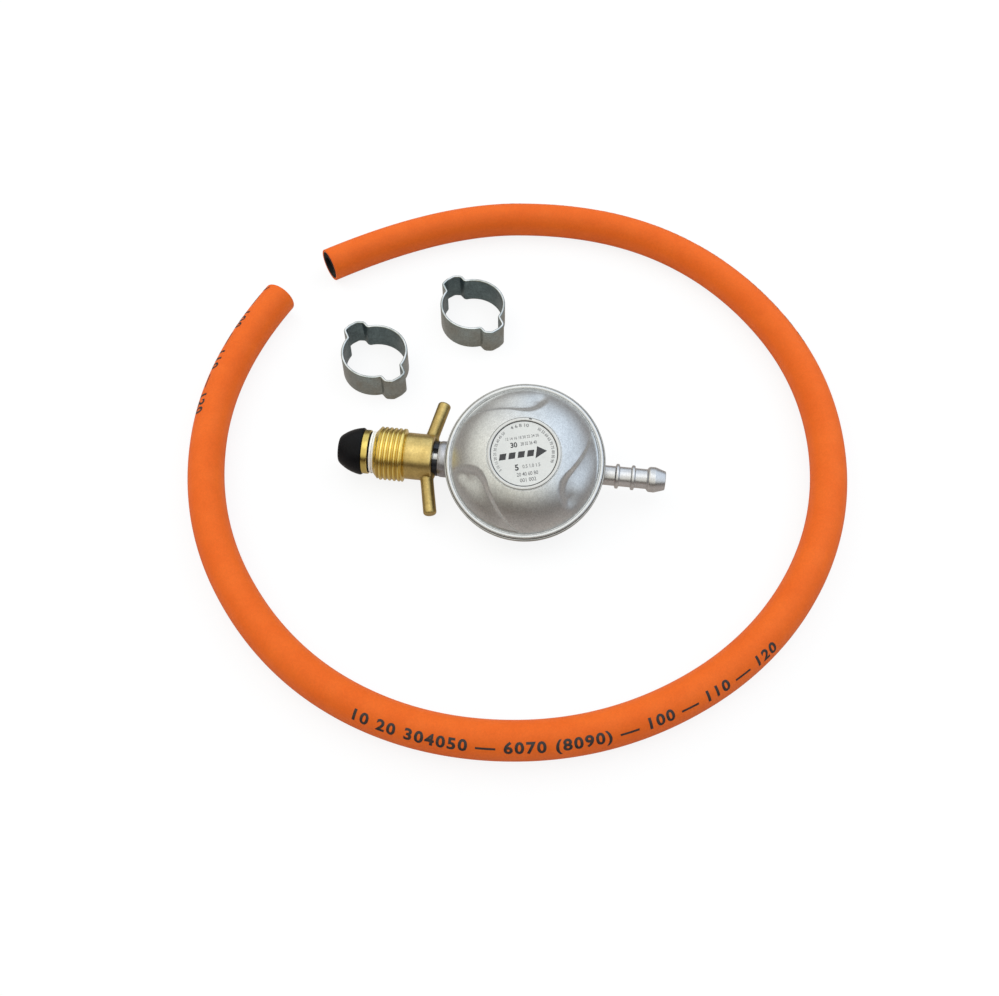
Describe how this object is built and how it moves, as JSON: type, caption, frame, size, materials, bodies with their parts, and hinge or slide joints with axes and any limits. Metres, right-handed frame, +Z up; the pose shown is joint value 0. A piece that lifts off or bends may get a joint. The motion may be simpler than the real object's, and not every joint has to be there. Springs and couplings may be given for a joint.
{
  "type": "propane regulator hose",
  "caption": "Low-pressure gas regulator with a swept-wing tee nut, rubber nose and barbed outlet, a loose rubber gas hose and open ear clips",
  "frame": {"origin": "centre of the hose loop on the surface that everything lies on", "axes": "+Z up; the regulator's gas path runs along +X turned 6.8 degrees clockwise seen from above, from the inlet nose to the outlet nozzle"},
  "size_m": [0.274, 0.278, 0.0385],
  "materials": {
    "painted_casting": "satin",
    "painted_cover": "satin metallic",
    "rim": "satin",
    "label": "satin",
    "inner_plastic": "matt",
    "steel": "bright",
    "diaphragm_rubber": "matt",
    "nose_rubber": "matt",
    "brass_turned": "bright",
    "brass_cast": "cast and turned",
    "white_plastic": "matt",
    "clip_black": "black",
    "hose_orange": "satin",
    "hose_black": "matt",
    "clip_zinc": "zinc plated"
  },
  "bodies": {
    "regulator": {"body_casting": "painted_casting", "bonnet": "painted_cover", "crimp_rim": "rim", "label_plate": "label", "adjuster_plug": "inner_plastic", "main_spring": "steel", "diaphragm": "diaphragm_rubber", "lever_pin": "steel", "inlet_jet": "brass_turned", "inlet_spigot": "brass_turned", "nose_seal": "nose_rubber", "inlet_filter": "steel", "thrust_washer": "white_plastic", "nut_clip": "clip_black", "sealing_ring": "nose_rubber", "hose_cover": "hose_orange", "hose_liner": "hose_black", "ear_clip_1": "clip_zinc", "ear_clip_2": "clip_zinc"},
    "nut": {"pol_nut": "brass_cast"},
    "core": {"diaphragm_plate": "steel", "diaphragm_stem": "brass_turned", "stem_washer": "steel", "stem_nut": "brass_turned"},
    "lever": {"lever": "steel"},
    "plunger": {"valve_plunger": "brass_turned", "valve_pad": "nose_rubber"}
  },
  "joints": [
    {"name": "nut_spin", "type": "hinge", "parent": "regulator", "child": "nut", "pos_m": [-0.04635, -0.00818, 0.01135], "axis": [0.993, -0.1184, 0], "continuous": true},
    {"name": "diaphragm_lift", "type": "slide", "parent": "regulator", "child": "core", "axis": [-0.0424, -0.3558, 0.9336], "range_m": [-0.001, 0.0012], "stiffness_N_per_m": 1000, "deforming": ["main_spring", "diaphragm"]},
    {"name": "lever_tilt", "type": "hinge", "parent": "regulator", "child": "lever", "pos_m": [0.01496, -0.01766, 0.01695], "axis": [0.1105, 0.927, 0.3584], "range_deg": [-4.77, 5.73]},
    {"name": "plunger_slide", "type": "slide", "parent": "regulator", "child": "plunger", "axis": [0.993, -0.1184, 0], "range_m": [-0.0006, 0.0005]}
  ],
  "couplings": [
    {"joint": "lever_tilt", "follows": "diaphragm_lift", "rad_per_m": 83.333},
    {"joint": "plunger_slide", "follows": "diaphragm_lift", "ratio": -0.5}
  ]
}
